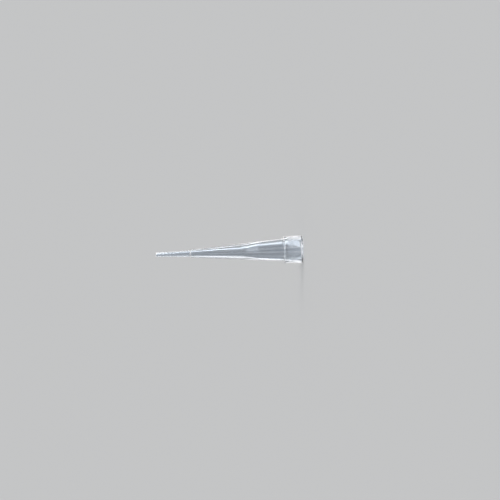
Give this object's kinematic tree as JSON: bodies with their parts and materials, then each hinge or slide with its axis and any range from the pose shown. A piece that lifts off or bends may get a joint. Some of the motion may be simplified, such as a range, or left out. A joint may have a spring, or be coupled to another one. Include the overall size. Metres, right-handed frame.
{
  "type": "pipette tip",
  "caption": "Clear moulded pipette tip: plain round collar with a socket at its mouth, a long tapered body, a small step and a fine nozzle.",
  "frame": {"origin": "centre of the mouth, on the surface that the tip stands on", "axes": "+Z along the tip's own axis, from the mouth up to the nozzle's end"},
  "size_m": [0.0058, 0.0058, 0.0315],
  "materials": {
    "clear_plastic": "clear, slightly milky natural polypropylene, smooth moulded surface"
  },
  "bodies": {
    "root": {"pipette_tip": "clear_plastic"}
  },
  "joints": []
}
